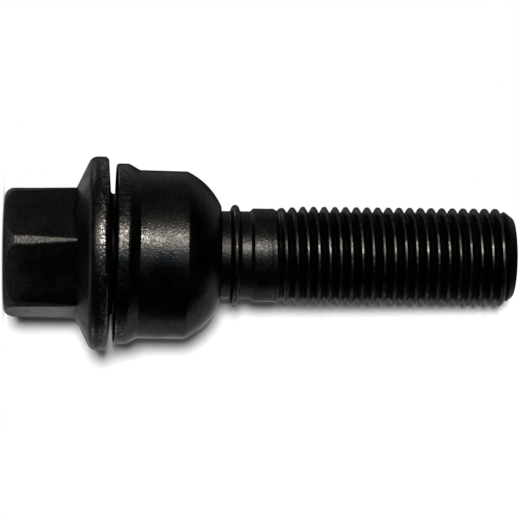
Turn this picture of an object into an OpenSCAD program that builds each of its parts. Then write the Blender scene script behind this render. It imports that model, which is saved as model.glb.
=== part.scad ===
// Wheel bolt with a loose ball-seat ring, in millimetres.
// It stands on the end of its head: the end face lies on Z = 0 and the bolt's axis is Z.

/* [Head] */
// Width of the hexagon across its flats
hex_af = 17; // [15:0.5:19]
// Height of the hexagon's corners, from the end face to the flange
hex_h = 10.4; // [8:0.1:14]
// How far the corners are cut back at the free end
corner_cut_end = 0.35; // [0.2:0.05:0.6]
// How far the corners are cut back where they meet the flange
corner_cut_base = 0.13; // [0.05:0.01:0.2]
// Radius of the rounded edge at the free end
head_edge_r = 1.75; // [1:0.05:2]
// Diameter of the forged recess in the end face
recess_d = 10.6; // [8:0.2:11]
// Depth of the forged recess
recess_depth = 0.7; // [0.3:0.1:1.5]

/* [Flange] */
// Diameter of the flange
flange_d = 27; // [25:0.5:30]
// Height of the flange's rim
flange_rim_h = 2.2; // [1.6:0.1:3]
// Slope of the flange's top, in degrees from level
flange_slope = 25; // [15:1:35]
// Slope of the flange's underside, in degrees from level
flange_under_slope = 6.3; // [2:0.1:8]
// Rounding of the rim's edge on the head's side
flange_top_round = 0.85; // [0.3:0.05:1]
// Rounding of the rim's edge on the shank's side
flange_under_round = 0.5; // [0.2:0.05:0.6]

/* [Neck and shank] */
// Width of the cone that carries the ring, as a share of the way from the shank to the ring's body
seat_share = 0.402; // [0.3:0.002:0.5]
// Length of the neck, from the flange to the cone that carries the ring
neck_l = 1.2; // [1:0.1:1.5]
// Fillet between the flange and the neck
neck_fillet = 0.4; // [0.2:0.05:0.5]
// Half angle of the cone that carries the ring
seat_half_angle = 30; // [25:1:40]
// How far the shank lies under the blank of the thread
shank_drop = 0.41; // [0.2:0.01:0.7]

/* [Thread] */
// Nominal diameter of the thread
thread_d = 14; // [13.6:0.1:14.4]
// Pitch of the thread
thread_pitch = 1.5; // [1.25:0.25:1.75]
// How far the crests stay inside the nominal radius
crest_allowance = 0.1; // [0.02:0.01:0.15]
// Length from the end of the plain step to the tip
thread_l = 33.6; // [20:0.1:50]
// Length of the plain step before the thread
step_l = 3.15; // [2:0.05:6]
// How far the edge of the tip lies under the crests
tip_drop = 1.4; // [1:0.05:2.2]
// Length of the tapered tip
tip_l = 1.8; // [1:0.1:3]
// Rounding of the tip's edge
tip_round = 0.4; // [0.1:0.05:0.6]

/* [Retaining bead] */
// Gap between the end of the ring and the middle of the bead
bead_gap = 2.2; // [1.6:0.1:3.2]
// Width of the bead at its foot
bead_w = 1.3; // [1.2:0.05:1.6]
// How far the bead stands above the bore of the ring
bead_hold = 0.34; // [0.2:0.01:0.45]
// Length of the groove between the middle of the bead and the plain step
bead_groove_l = 2.05; // [1.4:0.05:3]

/* [Ball-seat ring] */
// Radius of the ball seat
ball_r = 14; // [13:0.1:16]
// How far the centre of the ball lies from the back face of the ring
ball_offset = 2.3; // [1.5:0.1:3]
// Radius of the body behind the ball, as a share of the ball's radius
body_share = 0.836; // [0.8:0.002:0.86]
// How far the lip at the back stands above the body
lip_rise = 0.85; // [0.6:0.05:1.2]
// Width of the lip
lip_w = 1.65; // [1.2:0.05:2.2]
// Slope from the lip to the body, in degrees from the axis
lip_slope = 27.5; // [20:0.5:40]
// Taper of the body, in degrees from the axis
body_taper = 1.2; // [0:0.1:2]
// Rounding between the body and the ball
ball_edge_round = 1.5; // [0.5:0.1:3]
// Width of the flat at the end of the ball
end_land = 0.25; // [0.1:0.05:0.6]

/* [Clearances] */
// Gap between the ring's back face and the flange, at the neck
ring_gap = 0.55; // [0.4:0.05:0.7]
// Running clearance between the two cones, square to them
seat_clearance = 0.05; // [0.02:0.01:0.1]
// Radial clearance between the ring and the neck
neck_clearance = 0.25; // [0.15:0.05:0.3]
// Radial clearance that lets the ring pass over the blank of the thread
bore_clearance = 0.1; // [0.05:0.01:0.2]

/* [Hidden] */
$fn = 96;
// Depths of the thread's pitch line and of its root under the nominal crest, in pitches
PITCH_LINE_DEPTH = 0.3248;
ROOT_DEPTH = 0.6134;
// Angle of the thread's flanks from level
THREAD_FLANK_ANGLE = 30;
// Steps in each rounded corner
ROUND_STEPS = 6;
// Overlap between solids that are joined or cut
OVERLAP = 1;
// Rounding of an edge that is only broken
EDGE_BREAK = 0.3;
// Rounding of the lip's edge, and of the foot of the bead
LIP_ROUND = 1.6;
BEAD_FOOT_ROUND = 0.2;
// Angle of the bead's flanks from level, and of the recess's wall from the axis
BEAD_FLANK_ANGLE = 20;
RECESS_WALL_ANGLE = 45;

hex_corner_r = hex_af / 2 / cos(30);
head_end_r = hex_corner_r - corner_cut_end;
head_base_r = hex_corner_r - corner_cut_base;
flange_r = flange_d / 2;
crest_r = thread_d / 2 - crest_allowance;
tip_r = crest_r - tip_drop;
blank_r = thread_d / 2 - PITCH_LINE_DEPTH * thread_pitch;
root_r = thread_d / 2 - ROOT_DEPTH * thread_pitch;
shank_r = blank_r - shank_drop;
bore_r = blank_r + bore_clearance;
bead_r = bore_r + bead_hold;
body_r = ball_r * body_share;
neck_r = shank_r + (body_r - shank_r) * seat_share;
lip_r = body_r + lip_rise;

// Heights along the axis, from the end face of the head to the tip
flange_edge_z = hex_h + (flange_r - head_base_r) * tan(flange_slope);
flange_under_z = flange_edge_z + flange_rim_h;
neck_z = flange_under_z + (flange_r - neck_r) * tan(flange_under_slope);
seat_z = neck_z + neck_l;
seat_end_z = seat_z + (neck_r - shank_r) / tan(seat_half_angle);
ring_back_z = neck_z + ring_gap;
ball_z = ring_back_z + ball_offset;
ring_end_z = ball_z + sqrt(pow(ball_r, 2) - pow(bore_r + end_land, 2));
bead_z = ring_end_z + bead_gap;
step_z = bead_z + bead_groove_l;
thread_z = step_z + step_l;
tip_z = thread_z + thread_l;
first_groove_z = thread_z + thread_pitch / 4;
last_groove_z = tip_z - tip_l * (root_r - tip_r) / (crest_r - tip_r) - thread_pitch / 4;

function unit(v) = v / norm(v);

// Points that round corner b of the path a, b, c with radius r; b itself where r is 0
function rounded_corner(a, b, c, r) =
    r == 0 ? [b] :
    let (
        to_a = unit(a - b),
        to_c = unit(c - b),
        half = acos(to_a * to_c) / 2,
        centre = b + unit(to_a + to_c) * r / sin(half),
        first = b + to_a * r / tan(half) - centre,
        turn = 180 - 2 * half,
        way = sign(to_a[1] * to_c[0] - to_a[0] * to_c[1])
    )
    [for (i = [0:ROUND_STEPS])
        let (angle = way * turn * i / ROUND_STEPS)
        centre + [first[0] * cos(angle) - first[1] * sin(angle),
                  first[0] * sin(angle) + first[1] * cos(angle)]];

// Closed outline through corners given as [radius, height, rounding]
function outline(corners) =
    let (n = len(corners))
    [for (i = [0:n - 1])
        let (
            a = corners[(i + n - 1) % n],
            b = corners[i],
            c = corners[(i + 1) % n]
        )
        each rounded_corner([a[0], a[1]], [b[0], b[1]], [c[0], c[1]], b[2])];

// Rounding between the ring's tapered body and its ball, then on to the ring's end outside the ball
function ball_edge(body, centre) =
    let (
        out = [cos(body_taper), sin(body_taper)],
        up = [-sin(body_taper), cos(body_taper)],
        depth = (body - centre) * out - ball_edge_round,
        reach = ball_r - ball_edge_round,
        pivot = centre + out * depth + up * sqrt(pow(reach, 2) - pow(depth, 2)),
        turn = acos(depth / reach),
        arc = [for (i = [0:ROUND_STEPS])
            let (angle = body_taper + turn * i / ROUND_STEPS)
            pivot + ball_edge_round * [cos(angle), sin(angle)]],
        last = arc[ROUND_STEPS],
        slope = last - arc[ROUND_STEPS - 1],
        rest = ring_end_z - last[1]
    )
    [each [for (i = [0:ROUND_STEPS - 1]) arc[i]], last + slope * rest / slope[1]];

module turned(corners) {
    rotate_extrude() polygon(outline(corners));
}

// Hexagon, turned down at its corners, with a shallow recess forged into its end face
module head() {
    difference() {
        intersection() {
            cylinder(r = hex_corner_r, h = flange_edge_z, $fn = 6);
            turned([
                [0, 0, 0],
                [head_end_r, 0, head_edge_r],
                [head_end_r, head_edge_r * 2, 0],
                [head_base_r, hex_h, 0],
                [head_base_r, flange_edge_z, 0],
                [0, flange_edge_z, 0],
            ]);
        }
        turned([
            [0, -OVERLAP, 0],
            [recess_d / 2 + OVERLAP * tan(RECESS_WALL_ANGLE), -OVERLAP, 0],
            [recess_d / 2 - recess_depth * tan(RECESS_WALL_ANGLE), recess_depth, EDGE_BREAK],
            [0, recess_depth, 0],
        ]);
    }
}

// Everything under the head, turned and rolled about one axis
module flange_and_shank() {
    cone_start_r = hex_af / 2 - OVERLAP;
    cone_start_z = hex_h - (head_base_r - cone_start_r) * tan(flange_slope);
    bead_apex_r = shank_r + bead_w / 2 / tan(BEAD_FLANK_ANGLE);
    bead_round = (bead_apex_r - bead_r) / (1 / sin(BEAD_FLANK_ANGLE) - 1);
    turned([
        [0, cone_start_z, 0],
        [cone_start_r, cone_start_z, 0],
        [flange_r, flange_edge_z, flange_top_round],
        [flange_r, flange_under_z, flange_under_round],
        [neck_r, neck_z, neck_fillet],
        [neck_r, seat_z, 0],
        [shank_r, seat_end_z, 0],
        [shank_r, bead_z - bead_w / 2, BEAD_FOOT_ROUND],
        [bead_apex_r, bead_z, bead_round],
        [shank_r, bead_z + bead_w / 2, BEAD_FOOT_ROUND],
        [shank_r, step_z, 0],
        [blank_r, step_z + blank_r - shank_r, 0],
        [blank_r, first_groove_z, 0],
        [crest_r, first_groove_z, 0],
        [crest_r, tip_z - tip_l, 0],
        [tip_r, tip_z, tip_round],
        [0, tip_z, 0],
    ]);
}

// Grooves of the thread, drawn as rings one pitch apart, with the thread's own flanks
module thread_grooves() {
    root_half_w = thread_pitch / 4 - (blank_r - root_r) * tan(THREAD_FLANK_ANGLE);
    mouth_half_w = thread_pitch / 4 + (thread_d / 2 - blank_r) * tan(THREAD_FLANK_ANGLE);
    rotate_extrude()
    for (z = [first_groove_z:thread_pitch:last_groove_z])
        translate([0, z])
        polygon([
            [root_r, -root_half_w],
            [thread_d / 2, -mouth_half_w],
            [thread_d / 2, mouth_half_w],
            [root_r, root_half_w],
        ]);
}

module bolt() {
    color("#1b1c1e")
    difference() {
        union() {
            head();
            flange_and_shank();
        }
        thread_grooves();
    }
}

// Ring with a lip at the back, a ball at the front and a cone inside that bears on the bolt
module seat_ring() {
    cone_shift = seat_clearance / cos(seat_half_angle);
    inner_r = neck_r + neck_clearance;
    cone_start_z = seat_z - (neck_clearance - cone_shift) / tan(seat_half_angle);
    cone_end_z = seat_z + (neck_r + cone_shift - bore_r) / tan(seat_half_angle);
    body_z = ring_back_z + lip_w + (lip_r - body_r) / tan(lip_slope);
    color("#202124")
    rotate_extrude()
    intersection() {
        polygon(outline([
            [inner_r, ring_back_z, 0],
            [lip_r, ring_back_z, EDGE_BREAK],
            [lip_r, ring_back_z + lip_w, LIP_ROUND],
            [body_r, body_z, EDGE_BREAK],
            for (p = ball_edge([body_r, body_z], [0, ball_z])) [p[0], p[1], 0],
            [bore_r, ring_end_z, 0],
            [bore_r, cone_end_z, 0],
            [inner_r, cone_start_z, 0],
        ]));
        translate([0, ball_z]) circle(r = ball_r);
    }
}

bolt();
seat_ring();
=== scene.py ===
"""Looks of a wheel bolt with a loose ball-seat ring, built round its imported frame.

Pieces are modelled in millimetres about the bolt's axis, which is Z, with the end face of the head
at Z = 0. Each finished mesh is then scaled to metres, so that it lies where the frame has its node.
"""

import logging
import math
from collections.abc import Callable
from dataclasses import dataclass
from enum import Enum

import bmesh
import bpy
from mathutils import Matrix, Vector

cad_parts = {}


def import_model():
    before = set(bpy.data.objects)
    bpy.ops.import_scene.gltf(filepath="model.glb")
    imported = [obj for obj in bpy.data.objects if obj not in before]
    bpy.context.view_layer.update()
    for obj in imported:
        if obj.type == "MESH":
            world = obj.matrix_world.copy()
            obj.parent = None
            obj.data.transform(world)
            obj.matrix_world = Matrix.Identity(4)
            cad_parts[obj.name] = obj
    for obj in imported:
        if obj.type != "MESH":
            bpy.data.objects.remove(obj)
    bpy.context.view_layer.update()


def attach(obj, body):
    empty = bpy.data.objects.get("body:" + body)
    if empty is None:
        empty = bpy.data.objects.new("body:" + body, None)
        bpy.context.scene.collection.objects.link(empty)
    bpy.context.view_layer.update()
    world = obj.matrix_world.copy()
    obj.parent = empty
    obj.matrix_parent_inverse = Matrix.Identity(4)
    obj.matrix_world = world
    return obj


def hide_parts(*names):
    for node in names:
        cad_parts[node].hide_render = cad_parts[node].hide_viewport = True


LOG = logging.getLogger("wheel_bolt")

MM = 0.001
MM_IN_M = 1000.0
WHITE = (1.0, 1.0, 1.0, 1.0)

# Faces round a turned surface, and sides of the round floor.
COLUMNS = 144
FLOOR_SIDES = 96

# Points closer than this, in millimetres, become one: in a piece, and where the rod is joined.
WELD = 0.0005
ROD_WELD = 0.002

# How near to a height, in millimetres, a point counts as lying on it.
NEAR = 0.001

# Faces that meet at less than this angle are shaded as one surface.
SMOOTH_DEG = 38.0

# A metric thread: how far its pitch line lies inside the nominal radius, in pitches, and the rise
# of its flanks.
PITCH_LINE = 0.3248
FLANK_RISE = math.sqrt(3)

Value = float | tuple[float, ...] | bpy.types.NodeSocket
Element = bmesh.types.BMVert | bmesh.types.BMEdge | bmesh.types.BMFace
Colour = tuple[float, float, float]
Span = tuple[float, float]


class Joining(Enum):
    """How one solid is combined with another."""

    ADD = "UNION"
    COMMON = "INTERSECT"


class Lights(Enum):
    """What a lamp lights."""

    OBJECT = "object"
    PAPER = "paper"


@dataclass(frozen=True)
class Corner:
    """A corner of a turned outline, in millimetres: radius, height and rounding."""

    radius: float
    height: float
    rounding: float = 0.0


def rgba(colour: Colour, share: float = 1.0) -> tuple[float, ...]:
    """Gives a share of a colour as red, green, blue and alpha."""
    return (*(part * share for part in colour), 1.0)


def rounded(corners: list[Corner], closed: bool = False, steps: int = 6) -> list[Vector]:
    """Follows an outline and rounds its corners.

    Args:
        corners: The corners in order.
        closed: Whether the last corner leads back to the first.
        steps: Steps in each rounding.

    Returns:
        The outline's points as radius and height.
    """
    points: list[Vector] = []
    last = len(corners) - 1
    for i, corner in enumerate(corners):
        here = Vector((corner.radius, corner.height))
        if corner.rounding == 0 or (not closed and i in (0, last)):
            points.append(here)
            continue
        before = corners[i - 1]
        after = corners[(i + 1) % len(corners)]
        to_before = (Vector((before.radius, before.height)) - here).normalized()
        to_after = (Vector((after.radius, after.height)) - here).normalized()
        half = to_before.angle(to_after) / 2
        centre = here + (to_before + to_after).normalized() * corner.rounding / math.sin(half)
        first = here + to_before * corner.rounding / math.tan(half) - centre
        turn = math.pi - 2 * half
        side = math.copysign(1.0, to_before.y * to_after.x - to_before.x * to_after.y)
        for step in range(steps + 1):
            spoke = first.copy()
            spoke.rotate(Matrix.Rotation(side * turn * step / steps, 2))
            points.append(centre + spoke)
    return points


def leave_all() -> None:
    """Goes back to object mode with nothing selected."""
    active = bpy.context.view_layer.objects.active
    if active is not None and active.mode != "OBJECT":
        bpy.ops.object.mode_set(mode="OBJECT")
    bpy.ops.object.select_all(action="DESELECT")


def take(piece: bpy.types.Object) -> None:
    """Selects one object alone and makes it the active one.

    Args:
        piece: The object.
    """
    leave_all()
    piece.select_set(True)
    bpy.context.view_layer.objects.active = piece


def edit(piece: bpy.types.Object) -> None:
    """Goes into edit mode on one object, with all of its mesh selected.

    Args:
        piece: The object.
    """
    take(piece)
    bpy.ops.object.mode_set(mode="EDIT")
    bpy.ops.mesh.select_mode(type="VERT")
    bpy.ops.mesh.select_all(action="SELECT")


def name_new(name: str) -> bpy.types.Object:
    """Names the primitive that was just added and puts its place into its mesh.

    Args:
        name: The name of the object and of its mesh.

    Returns:
        The object, at the origin.
    """
    piece = bpy.context.active_object
    piece.name = name
    piece.data.name = name
    bpy.ops.object.transform_apply(location=True, rotation=True, scale=True)
    return piece


def select_where(piece: bpy.types.Object, kind: str, wanted: Callable[[Element], bool]) -> int:
    """Selects by a test, in edit mode, and nothing else.

    Args:
        piece: The object in edit mode.
        kind: VERT, EDGE or FACE.
        wanted: Says whether an element is wanted.

    Returns:
        How many were selected.
    """
    bpy.ops.mesh.select_mode(type=kind)
    bpy.ops.mesh.select_all(action="DESELECT")
    shape = bmesh.from_edit_mesh(piece.data)
    found = 0
    for element in {"VERT": shape.verts, "EDGE": shape.edges, "FACE": shape.faces}[kind]:
        if wanted(element):
            element.select_set(True)
            found += 1
    shape.select_flush_mode()
    bmesh.update_edit_mesh(piece.data)
    return found


def extend_rings(points: list[Vector]) -> None:
    """Extrudes the selected ring through the points of an outline, in edit mode.

    Args:
        points: Radius and height of the selected ring, and then of each ring to come.
    """
    for here, there in zip(points, points[1:]):
        bpy.ops.mesh.extrude_region_move(
            TRANSFORM_OT_translate={"value": (0, 0, there.y - here.y)}
        )
        scale = there.x / here.x
        bpy.ops.transform.resize(value=(scale, scale, 1), center_override=(0, 0, 0))


def turned(name: str, corners: list[Corner], closed: bool = False) -> bpy.types.Object:
    """Turns an outline about Z, ring after ring, into a closed mesh.

    Args:
        name: The new object's name.
        corners: The outline; none of its corners lies on the axis.
        closed: Whether the outline is a loop. An open one gets a flat cap at each end.

    Returns:
        The new object, in millimetres.
    """
    points = rounded(corners, closed)
    leave_all()
    bpy.ops.mesh.primitive_circle_add(
        vertices=COLUMNS, radius=points[0].x, fill_type="NOTHING", location=(0, 0, points[0].y)
    )
    piece = name_new(name)
    edit(piece)
    extend_rings(points + points[:1] if closed else points)
    bpy.ops.mesh.select_all(action="SELECT")
    bpy.ops.mesh.remove_doubles(threshold=WELD)
    bpy.ops.mesh.fill_holes(sides=0)
    bpy.ops.mesh.select_all(action="SELECT")
    bpy.ops.mesh.normals_make_consistent(inside=False)
    bpy.ops.object.mode_set(mode="OBJECT")
    return piece


def combine(piece: bpy.types.Object, tool: bpy.types.Object, joining: Joining) -> None:
    """Combines a tool's solid into a piece, and removes the tool.

    Args:
        piece: The piece that is changed.
        tool: The solid that it is combined with.
        joining: How they are combined.
    """
    take(piece)
    modifier = piece.modifiers.new(joining.name, "BOOLEAN")
    modifier.operation = joining.value
    modifier.solver = "EXACT"
    modifier.object = tool
    bpy.ops.object.modifier_apply(modifier=modifier.name)
    bpy.data.objects.remove(tool)


def finish_mesh(piece: bpy.types.Object) -> None:
    """Scales a mesh from millimetres to metres and shades it.

    Args:
        piece: The object, at the origin.
    """
    edit(piece)
    bpy.ops.transform.resize(value=(MM, MM, MM), center_override=(0, 0, 0))
    bpy.ops.object.mode_set(mode="OBJECT")
    take(piece)
    bpy.ops.object.shade_smooth_by_angle(angle=math.radians(SMOOTH_DEG))
    modifier = piece.modifiers.new("even_shading", "WEIGHTED_NORMAL")
    modifier.keep_sharp = True
    bpy.ops.object.modifier_apply(modifier=modifier.name)
    leave_all()


class Board:
    """Adds nodes to one tree and links them, from left to right."""

    def __init__(self, tree: bpy.types.NodeTree) -> None:
        """Starts on a tree, which is emptied."""
        self.tree = tree
        tree.nodes.clear()

    def feed(self, socket: bpy.types.NodeSocket, value: Value) -> None:
        """Links an output to an input socket, or sets the socket's own value.

        Args:
            socket: The input socket.
            value: A value or an output socket.
        """
        if isinstance(value, bpy.types.NodeSocket):
            self.tree.links.new(value, socket)
        else:
            socket.default_value = value

    def add(
        self, kind: str, inputs: dict[str | int, Value] | None = None, **settings: object
    ) -> bpy.types.Node:
        """Adds a node.

        Args:
            kind: The node's type.
            inputs: Values or output sockets for its inputs, by the input's name or number.
            **settings: The node's own properties.

        Returns:
            The new node.
        """
        step_in_editor = 180
        node = self.tree.nodes.new(kind)
        node.location = (len(self.tree.nodes) * step_in_editor, 0)
        for key, setting in settings.items():
            setattr(node, key, setting)
        for key, value in (inputs or {}).items():
            self.feed(node.inputs[key], value)
        return node

    def math(self, operation: str, *values: Value) -> bpy.types.NodeSocket:
        """Adds a Math node on these values and returns its result."""
        return self.add("ShaderNodeMath", dict(enumerate(values)), operation=operation).outputs[0]

    def dot(self, vector: Value, axis: Vector) -> bpy.types.NodeSocket:
        """Tells how far a vector goes along an axis.

        Args:
            vector: The vector.
            axis: The axis, one long.

        Returns:
            The dot product.
        """
        node = self.add(
            "ShaderNodeVectorMath", {0: vector, 1: tuple(axis)}, operation="DOT_PRODUCT"
        )
        return node.outputs["Value"]

    def blend(self, factor: Value, low: Value, high: Value) -> bpy.types.NodeSocket:
        """Mixes two colours.

        Args:
            factor: How much of the second colour there is, from 0 to 1.
            low: The first colour.
            high: The second colour.

        Returns:
            The mixed colour.
        """
        node = self.add("ShaderNodeMix", {0: factor, 6: low, 7: high}, data_type="RGBA")
        return node.outputs[2]

    def remap(self, value: Value, given: Span, wanted: Span) -> bpy.types.NodeSocket:
        """Maps a range of a value smoothly to another range.

        Args:
            value: The value.
            given: The range of the value.
            wanted: The range of the result.

        Returns:
            The result.
        """
        node = self.add(
            "ShaderNodeMapRange",
            {"Value": value, 1: given[0], 2: given[1], 3: wanted[0], 4: wanted[1]},
            interpolation_type="SMOOTHSTEP",
        )
        return node.outputs[0]


def new_group(
    name: str, inputs: dict[str, tuple[str, object]], outputs: dict[str, str]
) -> tuple[Board, bpy.types.Node]:
    """Makes a shader node group with named sockets.

    Args:
        name: The group's name.
        inputs: Socket type and default value, by name.
        outputs: Socket type, by name.

    Returns:
        A board on the group's tree, and its input node.
    """
    tree = bpy.data.node_groups.new(name, "ShaderNodeTree")
    for key, (kind, value) in inputs.items():
        socket = tree.interface.new_socket(name=key, in_out="INPUT", socket_type=kind)
        if value is not None:
            socket.default_value = value
    for key, kind in outputs.items():
        tree.interface.new_socket(name=key, in_out="OUTPUT", socket_type=kind)
    board = Board(tree)
    return board, board.add("NodeGroupInput")


def new_material(name: str) -> tuple[bpy.types.Material, Board]:
    """Makes a material without nodes.

    Args:
        name: The material's name.

    Returns:
        The material, and a board on its tree.
    """
    material = bpy.data.materials.new(name)
    material.use_nodes = True
    return material, Board(material.node_tree)


def coat_grain() -> bpy.types.NodeTree:
    """Makes the group for the coating's fine crystals and its slow blotches.

    Returns:
        The group: Height for a bump, Grain and Blotch as masks from 0 to 1.
    """
    crystals_in_grain = 1.3
    crystal_height = 0.35
    few_bright = 3.0
    blotch_edges = (0.35, 0.65)
    existing = bpy.data.node_groups.get("coat_grain")
    if existing is not None:
        return existing
    board, given = new_group(
        "coat_grain",
        {
            "Vector": ("NodeSocketVector", None),
            "Grain in mm": ("NodeSocketFloat", 0.3),
            "Blotch in mm": ("NodeSocketFloat", 3.0),
        },
        {"Height": "NodeSocketFloat", "Grain": "NodeSocketFloat", "Blotch": "NodeSocketFloat"},
    )
    place = given.outputs["Vector"]
    fine_scale = board.math("DIVIDE", MM_IN_M, given.outputs["Grain in mm"])
    slow_scale = board.math("DIVIDE", MM_IN_M, given.outputs["Blotch in mm"])
    fine = board.add(
        "ShaderNodeTexNoise",
        {"Vector": place, "Scale": fine_scale, "Detail": 1.0, "Roughness": 0.6},
    )
    crystals = board.add(
        "ShaderNodeTexVoronoi",
        {"Vector": place, "Scale": board.math("MULTIPLY", fine_scale, crystals_in_grain)},
    )
    lot = board.add("ShaderNodeSeparateColor", {0: crystals.outputs["Color"]})
    slow = board.add(
        "ShaderNodeTexNoise",
        {"Vector": place, "Scale": slow_scale, "Detail": 2.0, "Roughness": 0.5},
    )
    height = board.math(
        "MULTIPLY_ADD", crystals.outputs["Distance"], crystal_height, fine.outputs[0]
    )
    grain = board.math("POWER", lot.outputs[0], few_bright)
    blotch = board.remap(slow.outputs[0], blotch_edges, (0.0, 1.0))
    board.add("NodeGroupOutput", {"Height": height, "Grain": grain, "Blotch": blotch})
    return board.tree


def rubbed_band() -> bpy.types.NodeTree:
    """Makes the group for wear where a turned surface stands out furthest.

    Returns:
        The group: Wear, a broken mask that grows from the radius Start to the radius Full, and
        stays within Reach of the height Middle.
    """
    band_edge = (-0.2, 0.2)
    bare_edges = (0.47, 0.62)
    existing = bpy.data.node_groups.get("rubbed_band")
    if existing is not None:
        return existing
    board, given = new_group(
        "rubbed_band",
        {
            "Vector": ("NodeSocketVector", None),
            "Start in mm": ("NodeSocketFloat", 6.0),
            "Full in mm": ("NodeSocketFloat", 7.0),
            "Middle in mm": ("NodeSocketFloat", 0.0),
            "Reach in mm": ("NodeSocketFloat", 1.0),
            "Patch in mm": ("NodeSocketFloat", 0.8),
            "Amount": ("NodeSocketFloat", 0.5),
        },
        {"Wear": "NodeSocketFloat"},
    )
    place = given.outputs["Vector"]
    flat = board.add(
        "ShaderNodeVectorMath", {0: place, 1: (MM_IN_M, MM_IN_M, 0.0)}, operation="MULTIPLY"
    )
    radius = board.add("ShaderNodeVectorMath", {0: flat.outputs[0]}, operation="LENGTH")
    band = board.add(
        "ShaderNodeMapRange",
        {
            "Value": radius.outputs["Value"],
            1: given.outputs["Start in mm"],
            2: given.outputs["Full in mm"],
        },
    )
    parts = board.add("ShaderNodeSeparateXYZ", {0: place})
    height = board.math("MULTIPLY", parts.outputs["Z"], MM_IN_M)
    away = board.math("ABSOLUTE", board.math("SUBTRACT", height, given.outputs["Middle in mm"]))
    beyond = board.math("SUBTRACT", away, given.outputs["Reach in mm"])
    within = board.remap(beyond, band_edge, (1.0, 0.0))
    patches = board.add(
        "ShaderNodeTexNoise",
        {
            "Vector": place,
            "Scale": board.math("DIVIDE", MM_IN_M, given.outputs["Patch in mm"]),
            "Detail": 4.0,
            "Roughness": 0.65,
        },
    )
    broken = board.remap(patches.outputs[0], bare_edges, (0.0, 1.0))
    wear = board.math("MULTIPLY", board.math("MULTIPLY", band.outputs[0], within), broken)
    board.add("NodeGroupOutput", {"Wear": board.math("MULTIPLY", wear, given.outputs["Amount"])})
    return board.tree


def end_front_only(board: Board, front: bpy.types.NodeSocket) -> None:
    """Ends a material that shows only from its front and is clear from its back.

    Args:
        board: The board on the material's tree.
        front: The shader that the front shows.
    """
    clear = board.add("ShaderNodeBsdfTransparent")
    behind = board.add("ShaderNodeNewGeometry").outputs["Backfacing"]
    shown = board.add("ShaderNodeMixShader", {0: behind, 1: front, 2: clear.outputs[0]})
    board.add("ShaderNodeOutputMaterial", {"Surface": shown.outputs[0]})


@dataclass(frozen=True)
class WornBand:
    """Where a turned surface is rubbed: radii where it starts and is full, height, and amount."""

    start_r: float
    full_r: float
    middle_z: float
    reach: float
    amount: float
    patch: float

    def inputs(self) -> dict[str, float]:
        """Gives the values for the inputs of the rubbed_band group.

        Returns:
            The values, by the input's name.
        """
        return {
            "Start in mm": self.start_r,
            "Full in mm": self.full_r,
            "Middle in mm": self.middle_z,
            "Reach in mm": self.reach,
            "Patch in mm": self.patch,
            "Amount": self.amount,
        }


@dataclass(frozen=True)
class BlackCoating:
    """A black, finely granular coating on steel, rubbed a little where it stands out.

    Between its crystals it has the share dull of its colour, and on the brightest the share
    sparkle. Its blotches change the roughness by rough_spread.
    """

    colour: Colour = (0.022, 0.022, 0.022)
    rubbed_colour: Colour = (0.14, 0.137, 0.130)
    dull: float = 0.7
    sparkle: float = 1.45
    edge_tint: float = 0.56
    roughness: float = 0.36
    rough_spread: Span = (-0.04, 0.05)
    grain_mm: float = 0.28
    grain_depth_mm: float = 0.025
    blotch_mm: float = 3.0
    worn: tuple[WornBand, ...] = ()

    def material(self, name: str) -> bpy.types.Material:
        """Makes the coating's material.

        Args:
            name: The material's name.

        Returns:
            The material, with its pattern on Object coordinates.
        """
        material, board = new_material(name)
        place = board.add("ShaderNodeTexCoord").outputs["Object"]
        grain = board.add(
            "ShaderNodeGroup",
            {"Vector": place, "Grain in mm": self.grain_mm, "Blotch in mm": self.blotch_mm},
            node_tree=coat_grain(),
        ).outputs
        dark = rgba(self.colour, self.dull)
        light = rgba(self.colour, self.sparkle)
        colour = board.blend(grain["Grain"], dark, light)
        for band in self.worn:
            rub = board.add(
                "ShaderNodeGroup", {"Vector": place, **band.inputs()}, node_tree=rubbed_band()
            )
            colour = board.blend(rub.outputs["Wear"], colour, rgba(self.rubbed_colour))
        smooth, coarse = (self.roughness + spread for spread in self.rough_spread)
        rough = board.remap(grain["Blotch"], (0.0, 1.0), (smooth, coarse))
        depth = self.grain_depth_mm / MM_IN_M
        bump = board.add(
            "ShaderNodeBump", {"Strength": 1.0, "Distance": depth, "Height": grain["Height"]}
        )
        shader = board.add(
            "ShaderNodeBsdfPrincipled",
            {
                "Base Color": colour,
                "Metallic": 1.0,
                "Roughness": rough,
                "Specular Tint": rgba((self.edge_tint,) * 3),
                "Normal": bump.outputs[0],
            },
        )
        board.add("ShaderNodeOutputMaterial", {"Surface": shader.outputs[0]})
        return material


@dataclass(frozen=True)
class PaleFloor:
    """A white floor that glows, with painted shade where the object stands on it: ambient occlusion
    dims the glow.
    """

    # How far the painted shade reaches, how dark it gets, and where it fades out.
    reach: float = 0.004
    darkest: float = 0.5
    clear_at: float = 0.9
    samples: int = 16

    def material(self, name: str) -> bpy.types.Material:
        """Makes the floor's material.

        Args:
            name: The material's name.

        Returns:
            The material, white in the camera and in reflections, with painted shade where the
            object stands near it, and clear from below.
        """
        material, board = new_material(name)
        # Painted shade: ambient occlusion near the object dims the floor's white glow, standing in
        # for a contact shadow.
        open_sky = board.add(
            "ShaderNodeAmbientOcclusion", {"Distance": self.reach}, samples=self.samples
        )
        shade = board.remap(open_sky.outputs["AO"], (0.0, self.clear_at), (self.darkest, 1.0))
        path = board.add("ShaderNodeLightPath").outputs
        seen = board.math("MAXIMUM", path["Is Camera Ray"], path["Is Glossy Ray"])
        seen = board.math("MAXIMUM", seen, path["Is Transmission Ray"])
        glow = board.add(
            "ShaderNodeEmission",
            {"Color": WHITE, "Strength": board.math("MULTIPLY", seen, shade)},
        )
        end_front_only(board, glow.outputs[0])
        return material


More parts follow.
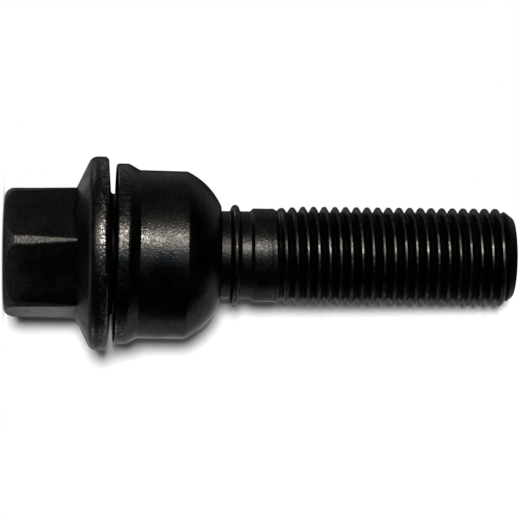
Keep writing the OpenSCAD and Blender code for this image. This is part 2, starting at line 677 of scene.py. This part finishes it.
@dataclass(frozen=True)
class Paper:
    """White paper that takes the object's shadow and is clear from its back."""

    white: float = 0.95

    def material(self, name: str) -> bpy.types.Material:
        """Makes the paper's material.

        Args:
            name: The material's name.

        Returns:
            The material.
        """
        material, board = new_material(name)
        front = board.add("ShaderNodeBsdfDiffuse", {"Color": rgba((self.white,) * 3)})
        end_front_only(board, front.outputs[0])
        return material


@dataclass
class ForgedBolt:
    """The one-piece bolt: hexagon, flange, neck, cone, shank, bead, step, thread and tip.

    Sizes are in millimetres. A name that ends in _r is a radius, in _z a height above the end of
    the head, in _l a length, in _w a width and in _round a rounding.
    """

    node: str = "bolt"
    hex_corner_r: float = 9.671
    hex_bar_l: float = 12.3
    hex_bar_z: float = 5.65
    hex_end_r: float = 9.30
    hex_base_r: float = 9.55
    hex_h: float = 10.17
    head_top_z: float = 12.0
    head_edge_round: float = 1.75
    recess_r: float = 5.3
    recess_wall: float = 0.7
    recess_floor: float = 2.0
    recess_depth: float = 0.7
    recess_foot_round: float = 0.3
    recess_edge_round: float = 0.2
    soft_outside_r: float = 7.3
    soft_angle: float = 0.35
    soft_w: float = 0.16
    soft_steps: int = 3
    flange_inner_r: float = 7.5
    flange_r: float = 13.5
    flange_edge_z: float = 12.07
    flange_edge_round: float = 1.3
    flange_under_z: float = 14.42
    flange_under_round: float = 0.65
    neck_r: float = 8.354
    neck_z: float = 14.76
    neck_round: float = 0.4
    seat_z: float = 15.8
    seat_round: float = 0.3
    shank_r: float = 6.103
    shank_z: float = 19.7
    shank_round: float = 1.0
    bead_r: float = 7.0
    bead_z: float = 32.05
    bead_w: float = 1.42
    bead_flank_deg: float = 20.0
    bead_foot_round: float = 0.2
    step_z: float = 34.14
    step_round: float = 0.1
    blank_r: float = 6.513
    rod_z: float = 35.0
    nominal_r: float = 7.0
    pitch: float = 1.5
    turns: int = 27
    turns_below: int = 2
    root_r: float = 5.92
    root_blend: float = 0.06
    crest_r: float = 6.86
    crest_blend: float = 0.12
    crest_at: float = 130 / COLUMNS
    ridge_columns: tuple[int, ...] = (7, 12, 18, 24, 48, 56, 62, 72)
    root_start_z: float = 35.9
    root_full_l: float = 2.6
    crest_start_z: float = 36.9
    crest_full_l: float = 4.9
    tip_cone_z: float = 69.2
    tip_rings_z: float = 70.625
    tip_r: float = 5.5
    tip_z: float = 71.0
    tip_round: float = 0.45
    tip_inset: float = 1.2
    coating: BlackCoating = BlackCoating(
        worn=(
            WornBand(
                start_r=12.7, full_r=13.2, middle_z=14.05, reach=0.80, amount=0.95, patch=0.35
            ),
            WornBand(
                start_r=6.72, full_r=6.86, middle_z=54.0, reach=17.0, amount=0.3, patch=0.6
            ),
            WornBand(
                start_r=6.80, full_r=6.96, middle_z=32.3, reach=1.0, amount=0.25, patch=0.3
            ),
        )
    )

    def head(self) -> bpy.types.Object:
        """Makes the hexagon, with its corners and its end turned and its recess forged.

        Returns:
            The head, which still reaches a little way into the flange.
        """
        corner_to_x = math.radians(30)
        leave_all()
        bpy.ops.mesh.primitive_cylinder_add(
            vertices=6, radius=self.hex_corner_r, depth=self.hex_bar_l,
            location=(0, 0, self.hex_bar_z), rotation=(0, 0, corner_to_x),
        )
        hexagon = name_new("hexagon")
        envelope = turned("envelope", [
            Corner(self.recess_r - self.recess_floor, self.recess_depth),
            Corner(self.recess_r - self.recess_wall, self.recess_depth, self.recess_foot_round),
            Corner(self.recess_r, 0.0, self.recess_edge_round),
            Corner(self.hex_end_r, 0.0, self.head_edge_round),
            Corner(self.hex_end_r, self.head_edge_round * 2),
            Corner(self.hex_base_r, self.hex_h),
            Corner(self.hex_base_r, self.head_top_z),
        ])
        combine(hexagon, envelope, Joining.COMMON)
        return hexagon

    def body(self) -> bpy.types.Object:
        """Turns everything from the flange to the plain step.

        Returns:
            The turned body, with its first ring inside the hexagon.
        """
        slope = (self.flange_edge_z - self.hex_h) / (self.flange_r - self.hex_base_r)
        inner_z = self.hex_h - (self.hex_base_r - self.flange_inner_r) * slope
        foot = self.bead_w / 2
        flank = math.radians(self.bead_flank_deg)
        bead_apex_r = self.shank_r + foot / math.tan(flank)
        bead_round = (bead_apex_r - self.bead_r) / (1 / math.sin(flank) - 1)
        return turned("turned_body", [
            Corner(self.flange_inner_r, inner_z),
            Corner(self.flange_r, self.flange_edge_z, self.flange_edge_round),
            Corner(self.flange_r, self.flange_under_z, self.flange_under_round),
            Corner(self.neck_r, self.neck_z, self.neck_round),
            Corner(self.neck_r, self.seat_z, self.seat_round),
            Corner(self.shank_r, self.shank_z, self.shank_round),
            Corner(self.shank_r, self.bead_z - foot, self.bead_foot_round),
            Corner(bead_apex_r, self.bead_z, bead_round),
            Corner(self.shank_r, self.bead_z + foot, self.bead_foot_round),
            Corner(self.shank_r, self.step_z, self.step_round),
            Corner(self.blank_r, self.step_z + self.blank_r - self.shank_r, self.step_round),
            Corner(self.blank_r, self.rod_z),
        ])

    def ridge_radius(self, away: float) -> float:
        """Gives the thread's radius beside a crest.

        Args:
            away: The distance from the crest along the axis.

        Returns:
            The radius, blended softly into the root and into the crest.
        """
        pitch_line_r = self.nominal_r - PITCH_LINE * self.pitch
        above_root = pitch_line_r + (self.pitch / 4 - away) * FLANK_RISE - self.root_r
        lifted = math.hypot(max(0.0, above_root), self.root_blend) + min(0.0, above_root)
        radius = self.root_r + max(0.0, lifted - self.root_blend)
        under_crest = self.crest_r - radius
        sunk = (under_crest + math.hypot(under_crest, self.crest_blend)) / 2
        return min(self.crest_r - sunk + self.crest_blend / 2, self.crest_r)

    def ridge(self) -> list[Vector]:
        """Gives one ridge of the thread, from root to root.

        Its points lie whole columns of the sweep apart, so that the turns' points meet.

        Returns:
            The points, as radius and height about the crest.
        """
        columns = [*(-column for column in reversed(self.ridge_columns)), 0, *self.ridge_columns]
        heights = [column / COLUMNS * self.pitch for column in columns]
        return [Vector((self.ridge_radius(abs(height)), height)) for height in heights]

    def rod(self) -> bpy.types.Object:
        """Sweeps the ridge into a thread, cuts it level and rolls it into the blank and the tip.

        Returns:
            The threaded rod, open where it joins the bolt.
        """
        seed_size = 0.1
        ridge = self.ridge()
        first = ridge[0]
        crest_z = self.rod_z + (self.crest_at - self.turns_below) * self.pitch
        leave_all()
        bpy.ops.mesh.primitive_plane_add(size=seed_size, location=(first.x, 0, crest_z + first.y))
        rod = name_new("thread_rod")
        edit(rod)
        bpy.ops.mesh.merge(type="CENTER")
        for here, there in zip(ridge, ridge[1:]):
            bpy.ops.mesh.extrude_vertices_move(
                TRANSFORM_OT_translate={"value": (there.x - here.x, 0, there.y - here.y)}
            )
        bpy.ops.object.mode_set(mode="OBJECT")
        sweep = rod.modifiers.new("thread", "SCREW")
        sweep.screw_offset = self.pitch
        sweep.iterations = self.turns
        sweep.steps = COLUMNS
        sweep.render_steps = COLUMNS
        bpy.ops.object.modifier_apply(modifier=sweep.name)
        edit(rod)
        bpy.ops.mesh.remove_doubles(threshold=WELD)
        for height, below in ((self.rod_z, True), (self.tip_rings_z, False)):
            bpy.ops.mesh.select_all(action="SELECT")
            bpy.ops.mesh.bisect(
                plane_co=(0, 0, height), plane_no=(0, 0, 1), threshold=WELD,
                clear_inner=below, clear_outer=not below,
            )
        bpy.ops.object.mode_set(mode="OBJECT")
        self.roll(rod)
        self.close_tip(rod)
        return rod

    def roll(self, rod: bpy.types.Object) -> None:
        """Lets the thread grow out of the blank and sink into the cone of the tip.

        Args:
            rod: The threaded rod.
        """
        for vertex in rod.data.vertices:
            radius = math.hypot(vertex.co.x, vertex.co.y)
            if radius > self.blank_r:
                growth = (vertex.co.z - self.crest_start_z) / self.crest_full_l
            else:
                growth = (vertex.co.z - self.root_start_z) / self.root_full_l
            growth = min(1.0, max(0.0, growth))
            if radius < self.blank_r:
                growth *= growth
            shaped = self.blank_r + (radius - self.blank_r) * growth
            shaped = min(shaped, self.cone_radius(vertex.co.z))
            vertex.co.x *= shaped / radius
            vertex.co.y *= shaped / radius

    def cone_radius(self, height: float) -> float:
        """Gives the radius of the tip's cone at a height."""
        fall = (self.crest_r - self.tip_r) / (self.tip_z - self.tip_cone_z)
        return self.crest_r - (height - self.tip_cone_z) * fall

    def close_tip(self, rod: bpy.types.Object) -> None:
        """Extrudes the top ring over the rounded edge and closes the end face.

        Args:
            rod: The threaded rod.
        """
        edit(rod)
        select_where(rod, "VERT", lambda v: abs(v.co.z - self.tip_rings_z) < NEAR)
        corners = [
            Corner(self.cone_radius(self.tip_rings_z), self.tip_rings_z),
            Corner(self.tip_r, self.tip_z, self.tip_round),
            Corner(self.tip_r - self.tip_inset, self.tip_z),
        ]
        extend_rings(rounded(corners))
        bpy.ops.mesh.edge_face_add()
        bpy.ops.object.mode_set(mode="OBJECT")

    def is_sharp(self, edge: bmesh.types.BMEdge) -> bool:
        """Says whether an edge is one of the hexagon's outer sharp ones.

        Args:
            edge: The edge.

        Returns:
            Whether it is to be rounded.
        """
        if len(edge.link_faces) != 2:
            return False
        middle = (edge.verts[0].co + edge.verts[1].co) / 2
        far_out = math.hypot(middle.x, middle.y) > self.soft_outside_r
        outside = far_out and middle.z < self.head_top_z
        return outside and edge.calc_face_angle_signed(0.0) > self.soft_angle

    def soften_head(self, bolt: bpy.types.Object) -> None:
        """Rounds the outer edges of the hexagon, in edit mode.

        Args:
            bolt: The bolt, in edit mode.
        """
        found = select_where(bolt, "EDGE", self.is_sharp)
        LOG.info("head: %d edges rounded", found)
        bpy.ops.mesh.bevel(
            offset=self.soft_w, offset_type="OFFSET", segments=self.soft_steps, profile=0.5,
            clamp_overlap=False,
        )

    def build(self) -> bpy.types.Object:
        """Builds the bolt and dresses it.

        Returns:
            The bolt, which stands for its node of the frame.
        """
        bolt = self.head()
        combine(bolt, self.body(), Joining.ADD)
        edit(bolt)
        self.soften_head(bolt)
        select_where(bolt, "FACE", lambda f: f.calc_center_median().z > self.rod_z - NEAR)
        bpy.ops.mesh.delete(type="ONLY_FACE")
        rod = self.rod()
        take(bolt)
        rod.select_set(True)
        bpy.ops.object.join()
        edit(bolt)
        bpy.ops.mesh.remove_doubles(threshold=ROD_WELD)
        bpy.ops.mesh.normals_make_consistent(inside=False)
        bpy.ops.object.mode_set(mode="OBJECT")
        bolt.name = bolt.data.name = "forged_bolt"
        finish_mesh(bolt)
        bolt.data.materials.clear()
        bolt.data.materials.append(self.coating.material("bolt_coating"))
        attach(bolt, "bolt")
        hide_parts(self.node)
        return bolt


@dataclass
class SeatRing:
    """The loose ring: a lip at the back, a ball at the front and a cone inside.

    Sizes are in millimetres, named as the bolt's are. The ball's outline is an arc of ball_r about
    ball_centre, a radius and a height, and the ring leans about its lip.
    """

    node: str = "seat_ring"
    inner_r: float = 8.604
    inner_round: float = 0.12
    bore_r: float = 6.613
    bore_round: float = 0.12
    cone_start_z: float = 15.814
    cone_start_round: float = 0.1
    cone_end_z: float = 19.263
    cone_end_round: float = 0.2
    back_z: float = 15.497
    back_round: float = 0.42
    lip_r: float = 12.554
    lip_z: float = 17.25
    lip_round: float = 1.0
    body_r: float = 11.704
    body_z: float = 18.78
    body_round: float = 0.4
    taper_deg: float = 0.2
    ball_r: float = 9.7
    ball_centre: Span = (2.82, 21.42)
    ball_steps: int = 16
    edge_round: float = 0.5
    edge_steps: int = 6
    land: float = 0.5
    end_z: float = 30.12
    lean_deg: float = -1.0
    lean_towards_deg: float = -108.9
    slide: float = -0.17
    coating: BlackCoating = BlackCoating(
        roughness=0.295,
        sparkle=1.4,
        worn=(
            WornBand(
                start_r=12.2, full_r=12.5, middle_z=16.4, reach=1.2, amount=0.35, patch=0.4
            ),
        ),
    )

    def ball_corners(self) -> list[Corner]:
        """Follows the rounding from the body to the ball and then the ball itself.

        Returns:
            Corners close together, without roundings.
        """
        tilt = math.radians(self.taper_deg)
        out = Vector((math.cos(tilt), math.sin(tilt)))
        up = Vector((-math.sin(tilt), math.cos(tilt)))
        centre = Vector(self.ball_centre)
        depth = (Vector((self.body_r, self.body_z)) - centre).dot(out) - self.edge_round
        reach = self.ball_r - self.edge_round
        pivot = centre + out * depth + up * math.sqrt(reach ** 2 - depth ** 2)
        turn = math.acos(depth / reach)
        corners = []
        for step in range(self.edge_steps + 1):
            angle = tilt + turn * step / self.edge_steps
            point = pivot + Vector((math.cos(angle), math.sin(angle))) * self.edge_round
            corners.append(Corner(point.x, point.y))
        last = math.acos((self.bore_r + self.land - centre.x) / self.ball_r)
        for step in range(1, self.ball_steps + 1):
            angle = tilt + turn + (last - tilt - turn) * step / self.ball_steps
            point = centre + Vector((math.cos(angle), math.sin(angle))) * self.ball_r
            corners.append(Corner(point.x, point.y))
        return corners

    def lean(self, ring: bpy.types.Object) -> None:
        """Lets the loose ring hang a little askew, as it does in the photograph.

        Args:
            ring: The ring, in millimetres.
        """
        edit(ring)
        pivot = (0, 0, self.lip_z)
        for degrees, axis in ((self.lean_deg, "X"), (self.lean_towards_deg, "Z")):
            bpy.ops.transform.rotate(
                value=math.radians(degrees), orient_axis=axis, center_override=pivot
            )
        bpy.ops.transform.translate(value=(0, 0, self.slide))
        bpy.ops.object.mode_set(mode="OBJECT")

    def build(self) -> bpy.types.Object:
        """Builds the ring and dresses it.

        Returns:
            The ring, which stands for its node of the frame.
        """
        ring = turned("ball_seat_ring", [
            Corner(self.inner_r, self.back_z, self.inner_round),
            Corner(self.lip_r, self.back_z, self.back_round),
            Corner(self.lip_r, self.lip_z, self.lip_round),
            Corner(self.body_r, self.body_z, self.body_round),
            *self.ball_corners(),
            Corner(self.bore_r, self.end_z, self.bore_round),
            Corner(self.bore_r, self.cone_end_z, self.cone_end_round),
            Corner(self.inner_r, self.cone_start_z, self.cone_start_round),
        ], closed=True)
        self.lean(ring)
        finish_mesh(ring)
        ring.data.materials.append(self.coating.material("ring_coating"))
        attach(ring, "seat_ring")
        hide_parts(self.node)
        return ring


@dataclass(frozen=True)
class Lamp:
    """A distant lamp, placed from the direction that the photograph was taken from.

    Attributes:
        name: The lamp's name.
        lift_deg: Its angle above the camera's direction, in the picture.
        strength: Its strength.
        size_deg: The angle that it is seen under.
        colour: Its colour.
        along: How far it leans towards the bolt's tip.
        lights: What it lights.
    """

    name: str
    lift_deg: float
    strength: float
    size_deg: float
    colour: Colour
    along: float
    lights: Lights


@dataclass
class Studio:
    """Camera, lamps and paper, set from the direction that the photograph was taken from.

    Lengths are in metres, and a name that ends in _px is in pixels of the photograph. In the
    world, a name that ends in _edges is where a light or dark area begins and is full: above_edges
    and dark_edges up the picture, back_edges towards the back, and the others along the bolt.
    """

    camera_azimuth_deg: float = -108.9
    camera_distance: float = 0.364
    camera_height: float = 0.0124
    sensor_mm: float = 36.0
    clip: Span = (0.01, 10.0)
    focal_px: float = 2612.0
    frame_px: float = 520.0
    shift: float = 0.08
    foot_x_px: float = 93.5
    roll_deg: float = 0.62
    axis_x_px: float = 380.0
    axis_y_px: float = 256.5
    paper_behind_flange: Span = (0.0133, -0.0136)
    paper_behind_tip: Span = (0.070, -0.0070)
    paper_height: float = 0.080
    paper_top: float = 0.0045
    paper_reach: float = -0.100
    floor_r: float = 0.018
    floor_z: float = -0.00005
    front_light: float = 0.003
    above_light: float = 0.2
    above_edges: Span = (0.6, 0.97)
    back_light: float = 0.75
    back_edges: Span = (0.1, 0.6)
    back_left_light: float = 1.6
    back_left_start_edges: Span = (-0.65, -0.45)
    back_left_end_edges: Span = (-0.36, -0.22)
    upper_back_dark: float = 0.02
    dark_start_edges: Span = (-0.15, 0.0)
    dark_end_edges: Span = (0.35, 0.6)
    tip_light: float = 0.9
    tip_edges: Span = (0.38, 0.52)
    room_colour: Colour = (0.92, 1.0, 0.97)
    shade_light: float = 0.11
    lamps: tuple[Lamp, ...] = (
        Lamp("key", 21.5, 3.2, 5.0, (1.0, 0.93, 0.82), 0.12, Lights.OBJECT),
        Lamp("cool_fill", 3.0, 0.15, 20.0, (0.40, 0.72, 1.0), 0.1, Lights.OBJECT),
        Lamp("low_front", 21.5, 0.5, 8.0, (1.0, 0.95, 0.86), -0.34, Lights.OBJECT),
        Lamp("upper_side", 118.0, 0.45, 12.0, (1.0, 0.97, 0.92), -0.40, Lights.OBJECT),
        Lamp("lower_side", -118.0, 0.45, 12.0, (1.0, 0.97, 0.92), -0.40, Lights.OBJECT),
        Lamp("paper_light", 8.5, 3.4, 10.5, (1.0, 1.0, 1.0), -0.05, Lights.PAPER),
    )

    def __post_init__(self) -> None:
        """Works out the directions towards the camera and up in the picture."""
        angle = math.radians(self.camera_azimuth_deg)
        self.towards = Vector((math.cos(angle), math.sin(angle), 0.0))
        self.upward = self.towards.cross(Vector((0.0, 0.0, 1.0)))
        self.lit = {part: bpy.data.collections.new(f"lit_{part.value}") for part in Lights}

    def build_camera(self) -> None:
        """Sets the camera, with the bolt's tip to the right in the picture."""
        data = bpy.data.cameras.new("camera")
        data.sensor_width = self.sensor_mm
        data.lens = self.focal_px / self.frame_px * data.sensor_width
        data.shift_x = self.shift
        data.clip_start, data.clip_end = self.clip
        camera = bpy.data.objects.new("camera", data)
        bpy.context.scene.collection.objects.link(camera)
        centre_px = self.frame_px / 2
        foot_px = centre_px - self.shift * self.frame_px
        yaw = math.atan((foot_px - self.foot_x_px) / self.focal_px)
        back = self.towards * math.cos(yaw) - Vector((0.0, 0.0, 1.0)) * math.sin(yaw)
        right = Vector((0.0, 0.0, 1.0)) * math.cos(yaw) + self.towards * math.sin(yaw)
        up = back.cross(right)
        roll = math.radians(self.roll_deg)
        right, up = (
            right * math.cos(roll) + up * math.sin(roll),
            up * math.cos(roll) - right * math.sin(roll),
        )
        axis_y = self.axis_y_px + math.tan(roll) * (foot_px - self.axis_x_px)
        drop = (centre_px - axis_y) / self.focal_px * self.camera_distance
        camera.location = (
            self.towards * self.camera_distance
            + Vector((0.0, 0.0, self.camera_height))
            - up * drop
        )
        camera.rotation_euler = Matrix((right, up, back)).transposed().to_euler()
        bpy.context.scene.camera = camera

    def hang(self, lamp: Lamp) -> None:
        """Hangs a lamp.

        Args:
            lamp: What the lamp is like and where it hangs.
        """
        data = bpy.data.lights.new(lamp.name, "SUN")
        data.energy = lamp.strength
        data.angle = math.radians(lamp.size_deg)
        data.color = lamp.colour
        hung = bpy.data.objects.new(lamp.name, data)
        bpy.context.scene.collection.objects.link(hung)
        lift = math.radians(lamp.lift_deg)
        source = self.towards * math.cos(lift) + self.upward * math.sin(lift)
        source.z += lamp.along
        hung.rotation_euler = source.to_track_quat("Z", "Y").to_euler()
        hung.light_linking.receiver_collection = self.lit[lamp.lights]

    def room_light(self, board: Board) -> bpy.types.NodeSocket:
        """Lights a dark room that has a pale back with a dark band and a brighter panel.

        Args:
            board: The board on the world's tree.

        Returns:
            The room's strength in each direction.
        """
        dark = self.upper_back_dark
        direction = board.add("ShaderNodeTexCoord").outputs["Generated"]
        rise = board.dot(direction, self.upward)
        back = board.dot(direction, -self.towards)
        aside = board.add("ShaderNodeSeparateXYZ", {0: direction}).outputs["Z"]
        above = board.remap(rise, self.above_edges, (self.front_light, self.above_light))
        behind = board.remap(back, self.back_edges, (0.0, 1.0))
        panel = board.math(
            "MULTIPLY",
            board.remap(aside, self.back_left_start_edges, (0.0, 1.0)),
            board.remap(aside, self.back_left_end_edges, (1.0, 0.0)),
        )
        under = board.remap(rise, self.dark_start_edges, (1.0, dark))
        high = board.remap(rise, self.dark_end_edges, (dark, 1.0))
        tipward = board.remap(aside, self.tip_edges, (dark, self.tip_light))
        wall = board.math("MAXIMUM", board.math("MAXIMUM", under, high), tipward)
        wall = board.math("MULTIPLY", wall, self.back_light)
        panel = board.math("MULTIPLY", panel, self.back_left_light)
        wall = board.math("MAXIMUM", wall, panel)
        return board.math("MAXIMUM", above, board.math("MULTIPLY", behind, wall))

    def build_world(self) -> None:
        """Shows white to the camera and the room to the object's reflections."""
        world = bpy.data.worlds.new("studio")
        bpy.context.scene.world = world
        world.use_nodes = True
        board = Board(world.node_tree)
        room = self.room_light(board)
        path = board.add("ShaderNodeLightPath").outputs
        mirrored = board.math("MAXIMUM", path["Is Glossy Ray"], path["Is Transmission Ray"])
        other = board.add(
            "ShaderNodeMix", {0: mirrored, 2: self.shade_light, 3: room}, data_type="FLOAT"
        )
        strength = board.math("MAXIMUM", other.outputs[0], path["Is Camera Ray"])
        colour = board.blend(path["Is Camera Ray"], rgba(self.room_colour), WHITE)
        around = board.add("ShaderNodeBackground", {"Color": colour, "Strength": strength})
        board.add("ShaderNodeOutputWorld", {"Surface": around.outputs[0]})

    def build_floor(self) -> bpy.types.Object:
        """Lays a small round floor under the head.

        Returns:
            The floor.
        """
        leave_all()
        bpy.ops.mesh.primitive_circle_add(
            vertices=FLOOR_SIDES, radius=self.floor_r, fill_type="NGON",
            location=(0, 0, self.floor_z),
        )
        floor = name_new("floor")
        floor.data.materials.append(PaleFloor().material("white_floor"))
        return floor

    def build_paper(self) -> bpy.types.Object:
        """Stands the sheet that the bolt leans on, from behind the bolt to below it.

        Returns:
            The sheet, with its front towards the camera.
        """
        leave_all()
        bpy.ops.mesh.primitive_plane_add(size=1.0)
        sheet = name_new("paper")
        near, far = self.paper_behind_flange, self.paper_behind_tip
        fall = (far[1] - near[1]) / (far[0] - near[0])
        spots = []
        for lift in (self.paper_top, self.paper_reach):
            for height in (0.0, self.paper_height):
                spot = self.upward * lift + self.towards * (near[1] + (height - near[0]) * fall)
                spots.append(spot + Vector((0.0, 0.0, height)))
        for vertex, spot in zip(sheet.data.vertices, spots):
            vertex.co = spot
        sheet.data.update()
        if sheet.data.polygons[0].normal.dot(self.towards) < 0:
            sheet.data.flip_normals()
        sheet.data.materials.append(Paper().material("white_paper"))
        return sheet

    def build(self, pieces: list[bpy.types.Object]) -> None:
        """Sets up the whole studio round the finished pieces.

        Args:
            pieces: The pieces that the lamps light.
        """
        self.build_camera()
        stage = [self.build_floor(), self.build_paper()]
        for piece in pieces:
            self.lit[Lights.OBJECT].objects.link(piece)
        for piece in stage:
            piece.visible_shadow = False
            self.lit[Lights.PAPER].objects.link(piece)
        for lamp in self.lamps:
            self.hang(lamp)
        self.build_world()


def report(piece: bpy.types.Object) -> None:
    """Logs a piece's size and its number of triangles.

    Args:
        piece: The finished piece.
    """
    triangles = sum(len(polygon.vertices) - 2 for polygon in piece.data.polygons)
    size = ", ".join(f"{MM_IN_M * side:.2f}" for side in piece.dimensions)
    LOG.info("%s: %s mm, %d triangles", piece.name, size, triangles)


def main() -> None:
    """Builds the dressed bolt and its studio."""
    logging.basicConfig(level=logging.INFO, format="%(name)s: %(message)s")
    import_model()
    bpy.context.view_layer.objects.active = None
    bpy.context.scene.view_settings.view_transform = "Standard"
    pieces = [sub_assembly.build() for sub_assembly in (ForgedBolt(), SeatRing())]
    for piece in pieces:
        report(piece)
    Studio().build(pieces)
    bpy.context.view_layer.update()


if __name__ == "__main__":
    main()
